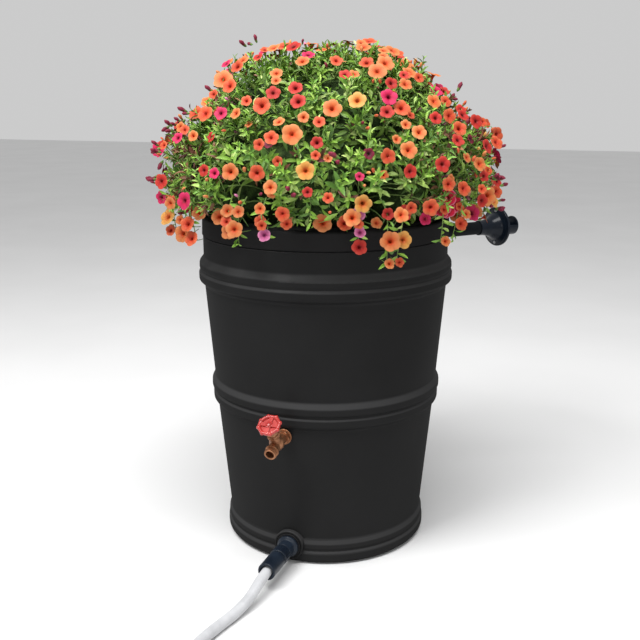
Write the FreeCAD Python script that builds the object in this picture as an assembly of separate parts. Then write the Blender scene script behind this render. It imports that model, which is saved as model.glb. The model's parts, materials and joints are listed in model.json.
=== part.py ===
"""Round tapered rain barrel with a planter lid, a brass hose tap, a drain outlet with a leader hose, and a fill hose to a downspout diverter.

Frame: millimetres, +Z up, origin at the centre of the flat underside. The tap and the drain face -Y. The fill hose leaves the neck at ARM_DEG from +X towards +Y.
"""
import FreeCAD, Part
import math
import os

V = FreeCAD.Vector
os.makedirs("parts", exist_ok=True)

# ---------------------------------------------------------------- driving dimensions
WALL = 4.0                 # moulded wall
BASE_T = 5.0               # moulded floor
RIM_Z = 790.0              # top of the barrel's rim, on which the lid rests
LEDGE_Z = 750.0            # step under the lid's skirt
NECK_R = 293.7             # outside of the neck
RIM_R = 288.5              # outside of the rim, inside the skirt

SKIRT_Z = 752.5            # lower edge of the lid's skirt
SKIRT_R = 295.8
PAN_Z = 693.0              # planting pan's floor, top side
PAN_T = 3.0
PAN_HOLE_R = 5.0           # drain holes of the pan
PAN_HOLE_PCR = 150.0
SOIL_Z = 784.0

TAP_Z = 325.0              # axis of the tap's shank
TAP_HOLE_R = 10.8
TAP_SHANK_R = 10.6
TAP_CENTRE = 48.0          # from the wall to the middle of the valve body
STEM_DEG = 54.0            # the stem rises at this angle
SPOUT_DEG = -18.0          # the spout points down at this angle
HOSE_THREAD_R = 13.4       # outside radius of the 3/4 in hose thread
SPOUT_LEN = 42.0
STEM_R = 4.0
RUN = 0.05                 # radial running clearance
WHEEL_R = 28.5             # over the lobes

DRAIN_Z = 46.0             # axis of the drain
DRAIN_PAD_R = 36.0
DRAIN_PAD_Y = -254.0       # outer flat face of the moulded pad
DRAIN_PAD_IN_Y = -237.0    # inner flat face of the pad
DRAIN_HOLE_R = 19.8
DRAIN_SHANK_R = 19.6
OUTLET_R = 16.5            # male end that the coupling nut turns on

HOSE_D = 24.0              # leader hose, outside
HOSE_WALL = 3.6
SLEEVE_END_Y = -386.0
# the hose's route from its end inside the sleeve to the coil: out, down to the ground, and along it
HOSE_ROUTE = [
    V(0, -325.0, 46.0),
    V(0, -403.0, 46.0),
    V(-4.0, -460.0, 25.0),
    V(-17.0, -510.0, 12.3),
    V(-30.0, -563.0, 12.3),
    V(-40.0, -620.0, 12.3),
    V(-45.5, -685.0, 12.3),
    V(-45.0, -755.0, 12.3),
]
COIL_C = V(77.0, -755.0, 0)   # two turns side by side, flat on the ground
COIL_OUT_R = 122.0            # middle of the outer turn
COIL_IN_R = 97.5              # middle of the inner turn

ARM_DEG = 50.0             # direction of the fill hose, from +X towards +Y
ARM_Z = 726.5
ARM_R = 17.0               # fill hose, outside
ARM_BORE = 14.0
ARM_HOLE_R = 20.5
FLANGE_S = 538.0           # face of the diverter that bears on the downspout, from the barrel's axis
FLANGE_R = 52.5
INSERT_R = 26.5            # collar that fills the hole in the downspout
TROUGH_R = 25.0            # collecting trough inside the downspout
SCREW_PCR = 42.0
SCREW_R = 2.1
SCREW_NECK_R = 2.5         # plain neck that sits in the flange


# ---------------------------------------------------------------- helpers
def outline(points):
    """A closed wire in the XZ plane through (x, z, radius) corners, each rounded by its radius."""
    n = len(points)
    cut = []
    for i, (x, z, r) in enumerate(points):
        p = V(x, 0, z)
        a = V(points[i - 1][0], 0, points[i - 1][1])
        b = V(points[(i + 1) % n][0], 0, points[(i + 1) % n][1])
        if r <= 0:
            cut.append((p, p, None))
            continue
        u, w = (a - p), (b - p)
        lu, lw = u.Length, w.Length
        u.normalize()
        w.normalize()
        half = u.getAngle(w) / 2
        t = min(r / math.tan(half), 0.48 * lu, 0.48 * lw)
        r = t * math.tan(half)
        mid = u + w
        mid.normalize()
        c = p + mid * (r / math.sin(half))
        cut.append((p + u * t, p + w * t, c - mid * r))
    edges = []
    for i in range(n):
        s, e, m = cut[i]
        if m is not None:
            edges.append(Part.Arc(s, m, e).toShape())
        nxt = cut[(i + 1) % n][0]
        if (nxt - e).Length > 1e-6:
            edges.append(Part.LineSegment(e, nxt).toShape())
    return Part.Wire(edges)


def turned(points):
    """The solid that an outline of (radius, height, corner radius) sweeps about Z."""
    s = Part.Face(outline(points)).revolve(V(0, 0, 0), V(0, 0, 1), 360)
    if s.ShapeType != "Solid":
        s = Part.Solid(s.Shells[0]) if s.Shells else s
    if s.Volume < 0:
        s.reverse()
    return s


def placed(shape, origin, direction):
    """The shape with its +Z turned to a direction and its origin moved to a point."""
    out = shape.copy()
    out.Placement = FreeCAD.Placement(origin, FreeCAD.Rotation(V(0, 0, 1), direction)).multiply(out.Placement)
    return out


def cyl(r, z0, z1):
    return Part.makeCylinder(r, z1 - z0, V(0, 0, z0))


def ring(r1, r0, z0, z1):
    return cyl(r1, z0, z1).cut(cyl(r0, z0 - 1, z1 + 1))


def hexa(flats, z0, z1, bevel=1.2):
    """A hexagonal prism with its corners turned off at both ends."""
    rr = flats / math.sqrt(3)
    pts = [V(rr * math.cos(math.radians(60 * k)), rr * math.sin(math.radians(60 * k)), z0) for k in range(7)]
    prism = Part.Face(Part.makePolygon(pts)).extrude(V(0, 0, z1 - z0))
    turn = turned([(0, z0, 0), (flats / 2 + 0.2, z0, 0), (rr + 0.5, z0 + bevel, 0), (rr + 0.5, z1 - bevel, 0), (flats / 2 + 0.2, z1, 0), (0, z1, 0)])
    return prism.common(turn)


def whole(shape):
    """The single solid of a boolean's result."""
    shape = shape.removeSplitter()
    if shape.ShapeType == "Compound" and len(shape.Solids) == 1:
        return shape.Solids[0]
    return shape


def save(name, shape):
    assert shape.isValid(), name
    assert shape.Volume > 0, name
    print("%-20s %2d solid  %10.1f mm3" % (name, len(shape.Solids), shape.Volume))
    shape.exportStep("parts/%s.step" % name)


def wall_r(z):
    """Outside radius of the plain lower wall between the foot and the middle hoop."""
    return 241.6 + (268.3 - 241.6) * (z - 62.0) / (341.0 - 62.0)


# ---------------------------------------------------------------- barrel shell
outer = [
    (0, 0, 0),
    (238.0, 0, 8), (249.2, 9, 9), (249.2, 27, 7), (244.8, 34, 4), (247.2, 40, 5), (246.9, 50, 8), (241.6, 62, 12),
    (268.3, 341, 10), (278.6, 351, 7), (278.8, 367, 6), (274.6, 374, 4), (281.6, 380, 6), (281.4, 395, 9), (273.9, 408, 12),
    (292.7, 636, 10), (305.4, 646, 7), (305.6, 663, 6), (301.3, 669.5, 4), (304.2, 676, 5), (303.6, 688, 9), (NECK_R, 701, 12),
    (NECK_R, LEDGE_Z, 2.0), (RIM_R, LEDGE_Z, 1.0), (RIM_R, RIM_Z, 1.4),
]
inner = [
    (RIM_R - WALL, RIM_Z, 1.4), (RIM_R - WALL, LEDGE_Z - WALL, 1.0), (NECK_R - WALL, LEDGE_Z - WALL, 2.0),
    (NECK_R - WALL, 703, 12), (299.6, 688, 6), (300.2, 676, 3), (297.3, 669.5, 5), (301.6, 663, 4), (301.4, 648, 5), (288.7, 638, 12),
    (269.9, 408, 12), (277.4, 394, 6), (277.6, 381, 4), (270.6, 374, 5), (274.8, 367, 4), (274.6, 353, 5), (264.3, 343, 12),
    (237.6, 62, 12), (242.9, 50, 6), (243.2, 40, 3), (240.8, 34, 5), (245.2, 27, 5), (245.2, 12, 7), (236.0, BASE_T, 8),
    (0, BASE_T, 0),
]
shell = turned(outer + inner)
pad = placed(turned([(0, 0, 0), (DRAIN_PAD_R, 0, 0), (DRAIN_PAD_R, DRAIN_PAD_IN_Y - DRAIN_PAD_Y, 2.5), (0, DRAIN_PAD_IN_Y - DRAIN_PAD_Y, 0)]), V(0, DRAIN_PAD_IN_Y, DRAIN_Z), V(0, -1, 0))
shell = shell.fuse(pad)
# shallow seat for the drain gasket, and the drain hole
shell = shell.cut(placed(cyl(31.0, -3.0, 2.0), V(0, DRAIN_PAD_Y, DRAIN_Z), V(0, -1, 0)))
shell = shell.cut(placed(cyl(DRAIN_HOLE_R, -30, 30), V(0, DRAIN_PAD_Y, DRAIN_Z), V(0, -1, 0)))
# hole for the tap's shank
tap_y = -wall_r(TAP_Z)
shell = shell.cut(placed(cyl(TAP_HOLE_R, -20, 20), V(0, tap_y, TAP_Z), V(0, -1, 0)))
# hole for the fill hose's seal
arm = V(math.cos(math.radians(ARM_DEG)), math.sin(math.radians(ARM_DEG)), 0)
shell = shell.cut(placed(cyl(ARM_HOLE_R, 270, 310), V(0, 0, ARM_Z), arm))
barrel_shell = whole(shell)
save("barrel_shell", barrel_shell)

# the solids that fill the barrel's outside and inside, used to trim seals to the curved wall
body_out = turned([p for p in outer] + [(0, RIM_Z, 0)])
body_in = turned([(0, BASE_T, 0)] + list(reversed([(r, z, c) for r, z, c in inner[:-1]])) + [(0, RIM_Z, 0)])

# ---------------------------------------------------------------- planter lid
lid_pts = [
    (292.3, SKIRT_Z, 0.8), (SKIRT_R, SKIRT_Z, 1.2), (294.6, 795.0, 8), (283.0, 795.0, 3), (281.0, 792.6, 2), (276.5, 792.6, 2.5),
    (273.5, 801.0, 3.5), (262.7, 801.0, 4), (238.0, PAN_Z, 8), (0, PAN_Z, 0),
    (0, PAN_Z - PAN_T, 0), (240.4, PAN_Z - PAN_T, 11), (263.3, RIM_Z, 2), (291.2, RIM_Z, 2.5),
]
lid = turned(lid_pts)
for k in range(6):
    a = math.radians(60 * k + 15)
    lid = lid.cut(Part.makeCylinder(PAN_HOLE_R, 20, V(PAN_HOLE_PCR * math.cos(a), PAN_HOLE_PCR * math.sin(a), PAN_Z - 10)))
planter_lid = whole(lid)
save("planter_lid", planter_lid)

# potting soil in the pan, with a slightly crowned top
slope = (262.7 - 238.0) / (801.0 - PAN_Z)
soil = turned([
    (0, PAN_Z, 0), (237.4, PAN_Z, 8.4), (238.0 + slope * (SOIL_Z - PAN_Z) - 0.5, SOIL_Z, 3), (170, SOIL_Z + 6, 60), (0, SOIL_Z + 8, 0),
])
save("potting_soil", soil)

# the planting's outer shape: a domed canopy of leaves and flowers, closed and thin
MOUND_T = 8.0
canopy_out = turned([
    (0, 803, 0), (325, 803, 10), (396, 815, 14), (408, 870, 60), (399, 960, 90), (352, 1060, 110), (255, 1140, 120), (130, 1186, 120), (0, 1196, 0),
])
canopy_in = turned([
    (0, 803 + MOUND_T, 0), (322, 803 + MOUND_T, 8), (388, 822, 8), (400, 870, 54), (391, 957, 84), (345, 1054, 104), (250, 1133, 112), (127, 1178, 112), (0, 1188, 0),
])
flower_mound = canopy_out.cut(canopy_in)
save("flower_mound", whole(flower_mound))

# ---------------------------------------------------------------- fill hose, its seal, and the diverter
def on_arm(shape):
    return placed(shape, V(0, 0, ARM_Z), arm)

seal = on_arm(cyl(23.2, 276, 299)).cut(on_arm(cyl(ARM_R, 260, 310)))
seal_wall = on_arm(cyl(60, 260, 320)).common(body_out.cut(body_in))          # the wall around the hole
seal_wall = seal_wall.cut(on_arm(cyl(ARM_HOLE_R - 0.1, 260, 320)))
fill_seal = whole(seal.cut(seal_wall))
save("fill_seal", fill_seal)

fill_hose = whole(on_arm(ring(ARM_R, ARM_BORE, 266, 500)))
save("fill_hose", fill_hose)

div = turned([
    (ARM_R, 470, 0.8), (19.6, 470, 1.2), (20.2, 486, 20), (24.5, 506, 26), (36.0, 526, 12), (45.5, 530.5, 6), (FLANGE_R, 531.5, 2.4), (FLANGE_R, FLANGE_S, 1.0),
    (INSERT_R, FLANGE_S, 0), (INSERT_R, 556, 1.0), (TROUGH_R, 557, 0), (TROUGH_R, 592, 2), (0, 592, 0), (0, 589.5, 0),
    (TROUGH_R - 2.5, 589.5, 1.5), (TROUGH_R - 2.5, 530, 6), (ARM_BORE, 506, 1.0), (ARM_BORE, 500, 0), (ARM_R, 500, 0),
])
# the collecting trough is open at the top, beyond the collar that fills the hole in the downspout; +Z there is local +X
open_top = Part.makeBox(60, 80, 29, V(4, -40, 558))


def arm_frame(shape):
    """Local X up, local Z along the arm."""
    out = shape.copy()
    m = FreeCAD.Matrix()
    # columns: local X -> +Z, local Z -> arm, local Y -> arm x Z
    yy = arm.cross(V(0, 0, 1))
    m.A11, m.A21, m.A31 = 0, 0, 1
    m.A12, m.A22, m.A32 = yy.x, yy.y, yy.z
    m.A13, m.A23, m.A33 = arm.x, arm.y, arm.z
    m.A14, m.A24, m.A34 = 0, 0, ARM_Z
    out.Placement = FreeCAD.Placement(m).multiply(out.Placement)
    return out


div = div.cut(open_top)
for sgn in (1, -1):
    div = div.cut(Part.makeCylinder(SCREW_NECK_R + 0.2, 30, V(sgn * SCREW_PCR, 0, 515)))
    div = div.cut(Part.makeCylinder(5.4, 12, V(sgn * SCREW_PCR, 0, 519.0)))   # flat seat for the head, down to 531
diverter = whole(arm_frame(div))
save("diverter", diverter)

head = turned([(0, 531.0, 0), (4.7, 531.0, 0), (4.6, 529.4, 0.8), (3.0, 528.2, 1.0), (0, 528.0, 0)])
screw = head.fuse(cyl(SCREW_NECK_R, 530.8, FLANGE_S + 0.4)).fuse(cyl(SCREW_R, FLANGE_S + 0.2, 550)).fuse(turned([(0, 550, 0), (SCREW_R, 550, 0), (0, 554, 0)]))
slot = Part.makeBox(1.0, 12, 1.2, V(-0.5, -6, 527.4)).fuse(Part.makeBox(12, 1.0, 1.2, V(-6, -0.5, 527.4)))
screw = whole(screw.cut(slot))
screws = []
for sgn in (1, -1):
    s = screw.copy()
    s.translate(V(sgn * SCREW_PCR, 0, 0))
    screws.append(arm_frame(s))
save("diverter_screws", Part.makeCompound(screws))

# ---------------------------------------------------------------- tap
wall_at = V(0, tap_y, TAP_Z)                   # the wall on the shank's axis
out_dir = V(0, -1, 0)
centre = V(0, tap_y - TAP_CENTRE, TAP_Z)       # middle of the valve body
sa, sp = math.radians(STEM_DEG), math.radians(SPOUT_DEG)
stem_dir = V(0, -math.cos(sa), math.sin(sa))
spout_dir = V(0, -math.cos(sp), math.sin(sp))


def on_shank(shape):
    return placed(shape, wall_at, out_dir)


def on_stem(shape):
    return placed(shape, centre, stem_dir)


def on_spout(shape):
    return placed(shape, centre, spout_dir)


tap_gasket = on_shank(ring(16.4, TAP_SHANK_R, -8, 5.0)).cut(body_out)
save("tap_gasket", whole(tap_gasket))

body = on_shank(cyl(TAP_SHANK_R, -26, 6))
body = body.fuse(on_shank(turned([(0, 5.0, 0), (18.2, 5.0, 1.0), (18.2, 8.6, 1.4), (0, 8.6, 0)])))
body = body.fuse(on_shank(hexa(29.0, 8.6, 17.0)))
body = body.fuse(on_shank(turned([(0, 16, 0), (12.6, 16, 0), (11.4, 24, 6), (14.5, 38, 8), (14.5, 46, 0), (0, 46, 0)])))
body = body.fuse(Part.makeSphere(17.2, centre))
body = body.fuse(on_stem(turned([(0, 4, 0), (13.4, 4, 0), (13.4, 26, 2), (14.6, 28, 0.8), (14.6, 31, 0.8), (0, 31, 0)])))
body = body.fuse(on_spout(turned([(0, 0, 0), (13.2, 0, 0), (12.4, 24, 4), (15.2, 26, 1), (15.2, 29.5, 1), (HOSE_THREAD_R, 30, 0), (HOSE_THREAD_R, SPOUT_LEN, 0.8), (0, SPOUT_LEN, 0)])))
# waterways: shank bore to below the seat, valve chamber, and outlet
body = body.cut(on_shank(cyl(7.0, -30, TAP_CENTRE - 9)))
body = body.cut(on_stem(cyl(6.0, -12, 0.5)))
body = body.cut(on_stem(cyl(9.6, 0, 40)))
body = body.cut(on_spout(cyl(8.0, 9, 26)))
body = body.cut(on_spout(cyl(9.8, 24, SPOUT_LEN + 1)))
tap_body = whole(body)
save("tap_body", tap_body)

# inside the barrel: rubber washer trimmed to the wall, and lock nut
washer_in = on_shank(ring(17.5, TAP_SHANK_R, -10.5, 2)).common(body_in)
tap_inner_washer = whole(washer_in)
save("tap_inner_washer", tap_inner_washer)
tap_lock_nut = whole(on_shank(hexa(32.0, -18.5, -10.5)).cut(on_shank(cyl(TAP_SHANK_R, -30, 0))))
save("tap_lock_nut", tap_lock_nut)

# bonnet, packing and packing nut
bonnet = cyl(9.55, 21, 31).fuse(hexa(26.0, 31, 38)).fuse(cyl(8.2, 37.5, 43)).cut(cyl(STEM_R + RUN, 10, 60))
save("bonnet", whole(on_stem(bonnet)))
packing_ring = ring(8.0, STEM_R + RUN, 43, 48)
save("packing_ring", whole(on_stem(packing_ring)))
packing_nut = hexa(23.0, 38.2, 52, 1.6).cut(cyl(8.3, 38, 43)).cut(cyl(8.05, 42.9, 48)).cut(cyl(STEM_R + RUN, 30, 60))
save("packing_nut", whole(on_stem(packing_nut)))

# stem with its cup, seat washer, washer screw, handwheel and its screw
stem = turned([(0, 4.0, 0), (8.9, 4.0, 0.5), (8.9, 8.0, 0.6), (STEM_R, 9.5, 0.6), (STEM_R, 73.0, 0.5), (0, 73.0, 0)])
stem = stem.cut(cyl(1.6, 0, 12)).cut(cyl(1.7, 60, 80))
save("valve_stem", whole(on_stem(stem)))
seat_washer = turned([(2.1, 0.02, 0), (8.6, 0.02, 0.6), (8.6, 3.96, 0.4), (2.1, 3.96, 0)])
save("seat_washer", whole(on_stem(seat_washer)))
washer_screw = turned([(0, -2.2, 0), (3.2, -2.2, 0.8), (3.2, -0.05, 0), (1.6, -0.05, 0), (1.6, 10.0, 0), (0, 10.0, 0)])
save("washer_screw", whole(on_stem(washer_screw)))

WHEEL_Z = 66.0
rim = turned([(17.4, WHEEL_Z + 3.2, 2.4), (20.4, WHEEL_Z - 1.2, 3), (25.6, WHEEL_Z - 0.4, 3), (25.4, WHEEL_Z + 6.8, 3), (20.4, WHEEL_Z + 7.4, 3)])
wheel = rim
for k in range(8):
    a = math.radians(45 * k + 22.5)
    lobe = Part.makeSphere(4.9, V((WHEEL_R - 4.9) * math.cos(a), (WHEEL_R - 4.9) * math.sin(a), WHEEL_Z + 3.1))
    wheel = wheel.fuse(lobe)
for k in range(4):
    spoke = Part.makeBox(15, 8.6, 4.4, V(5, -4.3, WHEEL_Z + 1.0))
    spoke.rotate(V(0, 0, 0), V(0, 0, 1), 90 * k)
    wheel = wheel.fuse(spoke)
# thin web between hub and rim, sunk below the spokes
web = cyl(19.6, WHEEL_Z + 0.4, WHEEL_Z + 2.4)
wheel = wheel.fuse(web)
hub = turned([(STEM_R, WHEEL_Z - 5, 0), (7.4, WHEEL_Z - 5, 1), (8.6, WHEEL_Z + 3, 2), (8.0, 73.0, 1.4), (STEM_R, 73.0, 0)])
wheel = wheel.fuse(hub).cut(cyl(STEM_R, 50, 80))
handwheel = whole(on_stem(wheel))
save("handwheel", handwheel)
wheel_screw = turned([(0, 61.5, 0), (1.7, 61.5, 0), (1.7, 73.0, 0), (6.2, 73.0, 0), (6.2, 74.0, 0.6), (4.6, 76.4, 1.4), (0, 76.8, 0)])
wheel_screw = wheel_screw.cut(Part.makeBox(14, 1.2, 1.4, V(-7, -0.6, 75.6)))
save("handwheel_screw", whole(on_stem(wheel_screw)))

# ---------------------------------------------------------------- drain
seat_y = DRAIN_PAD_Y + 3.0                      # bottom of the gasket's seat
drain_at = V(0, seat_y, DRAIN_Z)


def on_drain(shape):
    return placed(shape, drain_at, out_dir)


gasket = turned([(DRAIN_SHANK_R, 0, 0), (29.5, 0, 0), (29.5, 5.0, 1.6), (DRAIN_SHANK_R, 5.0, 0)])
save("drain_gasket", whole(on_drain(gasket)))
outlet = turned([
    (13.0, -30.0, 0), (DRAIN_SHANK_R, -30.0, 1.0), (DRAIN_SHANK_R, 5.0, 0), (25.5, 5.0, 1.2), (25.5, 11.0, 2.5), (19.2, 15.5, 3),
    (18.8, 37.0, 1), (OUTLET_R, 37.6, 0), (OUTLET_R, 62.0, 0.8), (13.0, 62.0, 0),
])
save("drain_outlet", whole(on_drain(outlet)))
drain_inner_washer = ring(25.0, DRAIN_SHANK_R, -17.0, -14.0)       # the inner pad face is at -14
save("drain_inner_washer", whole(on_drain(drain_inner_washer)))
drain_lock_nut = hexa(48.0, -25.5, -17.0, 1.5).cut(cyl(DRAIN_SHANK_R, -40, 0))
save("drain_lock_nut", whole(on_drain(drain_lock_nut)))

# leader hose coupling: swivel nut, rubber washer, barbed tail, and the sleeve over the hose's end
nut = turned([
    (OUTLET_R + RUN, 40.0, 0), (20.0, 40.0, 1.2), (20.9, 44.0, 1), (20.9, 66.0, 1), (19.8, 69.5, 1.6), (11.0 + RUN, 69.5, 0),
    (11.0 + RUN, 67.0 + RUN, 0), (OUTLET_R + RUN, 67.0 + RUN, 0),
])
for k in range(18):
    a = math.radians(20 * k)
    nut = nut.cut(Part.makeCylinder(1.1, 24, V(21.3 * math.cos(a), 21.3 * math.sin(a), 43.0)))
save("coupling_nut", whole(on_drain(nut)))
save("hose_washer", whole(on_drain(ring(OUTLET_R - 0.3, 8.0, 62.0, 64.6))))
tail = turned([
    (6.4, 64.6, 0), (OUTLET_R - 0.2, 64.6, 0.4), (OUTLET_R - 0.2, 67.0, 0.4), (11.0, 67.0, 0), (11.0, 72.0, 0), (8.3, 73.0, 0),
    (8.3, 112.0, 1.0), (6.4, 112.0, 0),
])
save("hose_tail", whole(on_drain(tail)))
EXIT_S = seat_y - SLEEVE_END_Y                   # where the sleeve ends, along the drain's axis
sleeve = turned([
    (11.0, 70.0, 0), (19.0, 70.0, 1.5), (20.3, 76.0, 2), (20.3, EXIT_S - 2, 2), (17.0, EXIT_S, 2), (HOSE_D / 2, EXIT_S - 6.0, 1),
    (HOSE_D / 2, 73.0, 0), (11.0, 73.0, 0),
])
save("hose_sleeve", whole(on_drain(sleeve)))

# ---------------------------------------------------------------- leader hose
def path(points):
    """Straight runs joined by tangent arcs, each as large as its two runs allow."""
    edges, at, radii = [], points[0], []
    for i in range(1, len(points) - 1):
        a, p, b = points[i - 1], points[i], points[i + 1]
        u, w = a - p, b - p
        lu, lw = u.Length, w.Length
        u.normalize()
        w.normalize()
        turn = math.pi - u.getAngle(w)
        t = 0.45 * min(lu, lw)
        r = t / math.tan(turn / 2)
        mid = u + w
        mid.normalize()
        half = (math.pi - turn) / 2
        c = p + mid * (r / math.sin(half))
        s, e, m = p + u * t, p + w * t, c - mid * r
        edges.append(Part.LineSegment(at, s).toShape())
        edges.append(Part.Arc(s, m, e).toShape())
        at = e
        radii.append(r)
    edges.append(Part.LineSegment(at, points[-1]).toShape())
    return Part.Wire(edges), radii


def tube(points, r1, r0):
    """A hose along a path, from two sweeps."""
    wire, radii = path(points)
    d = points[1] - points[0]
    solids = []
    for r in (r1, r0):
        disc = Part.Wire([Part.Circle(points[0], d, r).toShape()])
        solids.append(wire.makePipeShell([disc], True, False))
    return solids[0].cut(solids[1]), wire, radii


# inside the sleeve the hose is straight and held on the tail; outside it follows the route
free, wire, radii = tube(HOSE_ROUTE, HOSE_D / 2, HOSE_D / 2 - HOSE_WALL)
free = free.Solids[0] if free.Solids else free
expect = math.pi * ((HOSE_D / 2) ** 2 - (HOSE_D / 2 - HOSE_WALL) ** 2) * wire.Length
print("hose radii mm:", [round(r) for r in radii], "run %.1f mm" % wire.Length, "volume %.0f expected %.0f" % (free.Volume, expect))
save("leader_hose", free)

COIL_TOP = HOSE_D + 0.6
coil = turned([
    (COIL_IN_R - HOSE_D / 2, 0.2, 6), (COIL_OUT_R + HOSE_D / 2, 0.2, 6), (COIL_OUT_R + HOSE_D / 2, COIL_TOP, 6), (COIL_IN_R - HOSE_D / 2, COIL_TOP, 6),
])
coil.translate(COIL_C)
save("leader_hose_coil", coil)

# threaded fitting on the hose's far end, lying on the coil
FIT_X = COIL_C.x - COIL_IN_R - 6.0
FIT_Z = COIL_TOP + 15.2
fit_at = V(FIT_X, COIL_C.y - 2.0, FIT_Z)
fitting = turned([(6.5, 0, 0), (8.5, 0, 0), (8.5, 20, 0), (14.8, 20.5, 1), (14.8, 33, 1), (HOSE_THREAD_R, 33.5, 0), (HOSE_THREAD_R, 47.0, 0.8), (9.5, 47.0, 0), (9.5, 36, 0), (6.5, 34, 0)])
save("hose_end_fitting", whole(placed(fitting, fit_at, V(0, -1, 0))))
end_sleeve = turned([(HOSE_D / 2, -4, 0), (13.6, -4, 0.8), (14.6, 1, 1), (14.6, 20, 1), (HOSE_D / 2, 20, 0)])
save("hose_end_sleeve", whole(placed(end_sleeve, fit_at, V(0, -1, 0))))
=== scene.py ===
import json
import math

import bpy
import numpy as np
from mathutils import Matrix, Vector, noise


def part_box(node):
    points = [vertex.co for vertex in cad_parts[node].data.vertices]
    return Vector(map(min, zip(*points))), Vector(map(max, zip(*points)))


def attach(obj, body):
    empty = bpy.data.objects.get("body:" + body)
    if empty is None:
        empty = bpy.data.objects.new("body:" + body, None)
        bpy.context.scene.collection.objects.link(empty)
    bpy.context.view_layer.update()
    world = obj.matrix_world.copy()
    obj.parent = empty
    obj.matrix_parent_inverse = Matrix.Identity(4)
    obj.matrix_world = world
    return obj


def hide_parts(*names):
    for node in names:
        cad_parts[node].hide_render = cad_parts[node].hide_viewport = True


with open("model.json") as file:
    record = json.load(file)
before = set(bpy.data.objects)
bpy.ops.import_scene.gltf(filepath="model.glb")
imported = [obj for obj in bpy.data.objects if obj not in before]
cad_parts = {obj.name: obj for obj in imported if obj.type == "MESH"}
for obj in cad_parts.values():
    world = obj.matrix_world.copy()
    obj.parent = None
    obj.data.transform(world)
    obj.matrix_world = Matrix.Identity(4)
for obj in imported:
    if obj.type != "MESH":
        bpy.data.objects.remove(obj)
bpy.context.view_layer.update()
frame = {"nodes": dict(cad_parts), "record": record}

scene = bpy.context.scene
rng = np.random.default_rng(20)

# ------------------------------------------------------------------ camera
AZ, PITCH = math.radians(20.0), math.radians(14.0)
cam_data = bpy.data.cameras.new("camera")
cam_data.sensor_width = 36.0
cam_data.lens = 50.6
cam_data.shift_x = -0.00875
cam_data.clip_start, cam_data.clip_end = 0.05, 60.0
cam = bpy.data.objects.new("camera", cam_data)
scene.collection.objects.link(cam)
cam.location = (0.7388, -2.0297, 1.07)
look = Vector((-math.sin(AZ) * math.cos(PITCH), math.cos(AZ) * math.cos(PITCH), -math.sin(PITCH)))
cam.rotation_mode = "QUATERNION"
cam.rotation_quaternion = look.to_track_quat("-Z", "Y")
scene.camera = cam


# ------------------------------------------------------------------ materials
def material(name):
    m = bpy.data.materials.new(name)
    m.use_nodes = True
    t = m.node_tree
    return m, t, t.nodes["Principled BSDF"]


def noise_node(t, scale, detail=4.0, rough=0.5, stretch=None):
    co = t.nodes.new("ShaderNodeTexCoord")
    n = t.nodes.new("ShaderNodeTexNoise")
    n.inputs["Scale"].default_value = scale
    n.inputs["Detail"].default_value = detail
    n.inputs["Roughness"].default_value = rough
    if stretch:
        mp = t.nodes.new("ShaderNodeMapping")
        mp.inputs["Scale"].default_value = stretch
        t.links.new(co.outputs["Object"], mp.inputs["Vector"])
        t.links.new(mp.outputs["Vector"], n.inputs["Vector"])
    else:
        t.links.new(co.outputs["Object"], n.inputs["Vector"])
    return n


def ramp_node(t, source, stops):
    r = t.nodes.new("ShaderNodeValToRGB")
    while len(r.color_ramp.elements) < len(stops):
        r.color_ramp.elements.new(0.5)
    for e, (pos, col) in zip(r.color_ramp.elements, stops):
        e.position = pos
        e.color = (*col, 1.0)
    t.links.new(source, r.inputs["Fac"])
    return r


def rough_from(t, b, source, low, high):
    mr = t.nodes.new("ShaderNodeMapRange")
    mr.inputs["To Min"].default_value = low
    mr.inputs["To Max"].default_value = high
    t.links.new(source, mr.inputs["Value"])
    t.links.new(mr.outputs["Result"], b.inputs["Roughness"])


def bump_from(t, b, source, strength, distance):
    bp = t.nodes.new("ShaderNodeBump")
    bp.inputs["Strength"].default_value = strength
    bp.inputs["Distance"].default_value = distance
    t.links.new(source, bp.inputs["Height"])
    t.links.new(bp.outputs["Normal"], b.inputs["Normal"])


def surface(name, dark, light, scale, rough, grain=None, metallic=0.0, specular=0.5, coat=0.0, stretch=None, detail=4.0, coat_rough=0.12):
    """A colour that drifts between two tones, with roughness that drifts the same way and a fine grain as bump."""
    m, t, b = material(name)
    n = noise_node(t, scale, detail, 0.55, stretch)
    r = ramp_node(t, n.outputs["Fac"], [(0.32, dark), (0.68, light)])
    t.links.new(r.outputs["Color"], b.inputs["Base Color"])
    rough_from(t, b, n.outputs["Fac"], rough[0], rough[1])
    b.inputs["Metallic"].default_value = metallic
    b.inputs["Specular IOR Level"].default_value = specular
    if coat:
        b.inputs["Coat Weight"].default_value = coat
        b.inputs["Coat Roughness"].default_value = coat_rough
    if grain:
        g = noise_node(t, grain[0], 3.0, 0.6, stretch)
        bump_from(t, b, g.outputs["Fac"], grain[1], grain[2])
    return m


M = {}
M["barrel"] = surface("barrel_plastic", (0.0108, 0.0108, 0.0110), (0.0142, 0.0142, 0.0144), 3.0, (0.40, 0.50), (520.0, 0.20, 0.0006), specular=0.0, coat=0.14, coat_rough=0.42)
M["lid"] = surface("lid_plastic", (0.0100, 0.0097, 0.0100), (0.0138, 0.0134, 0.0137), 4.0, (0.40, 0.50), (560.0, 0.20, 0.0006), specular=0.0, coat=0.13, coat_rough=0.48)


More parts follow.
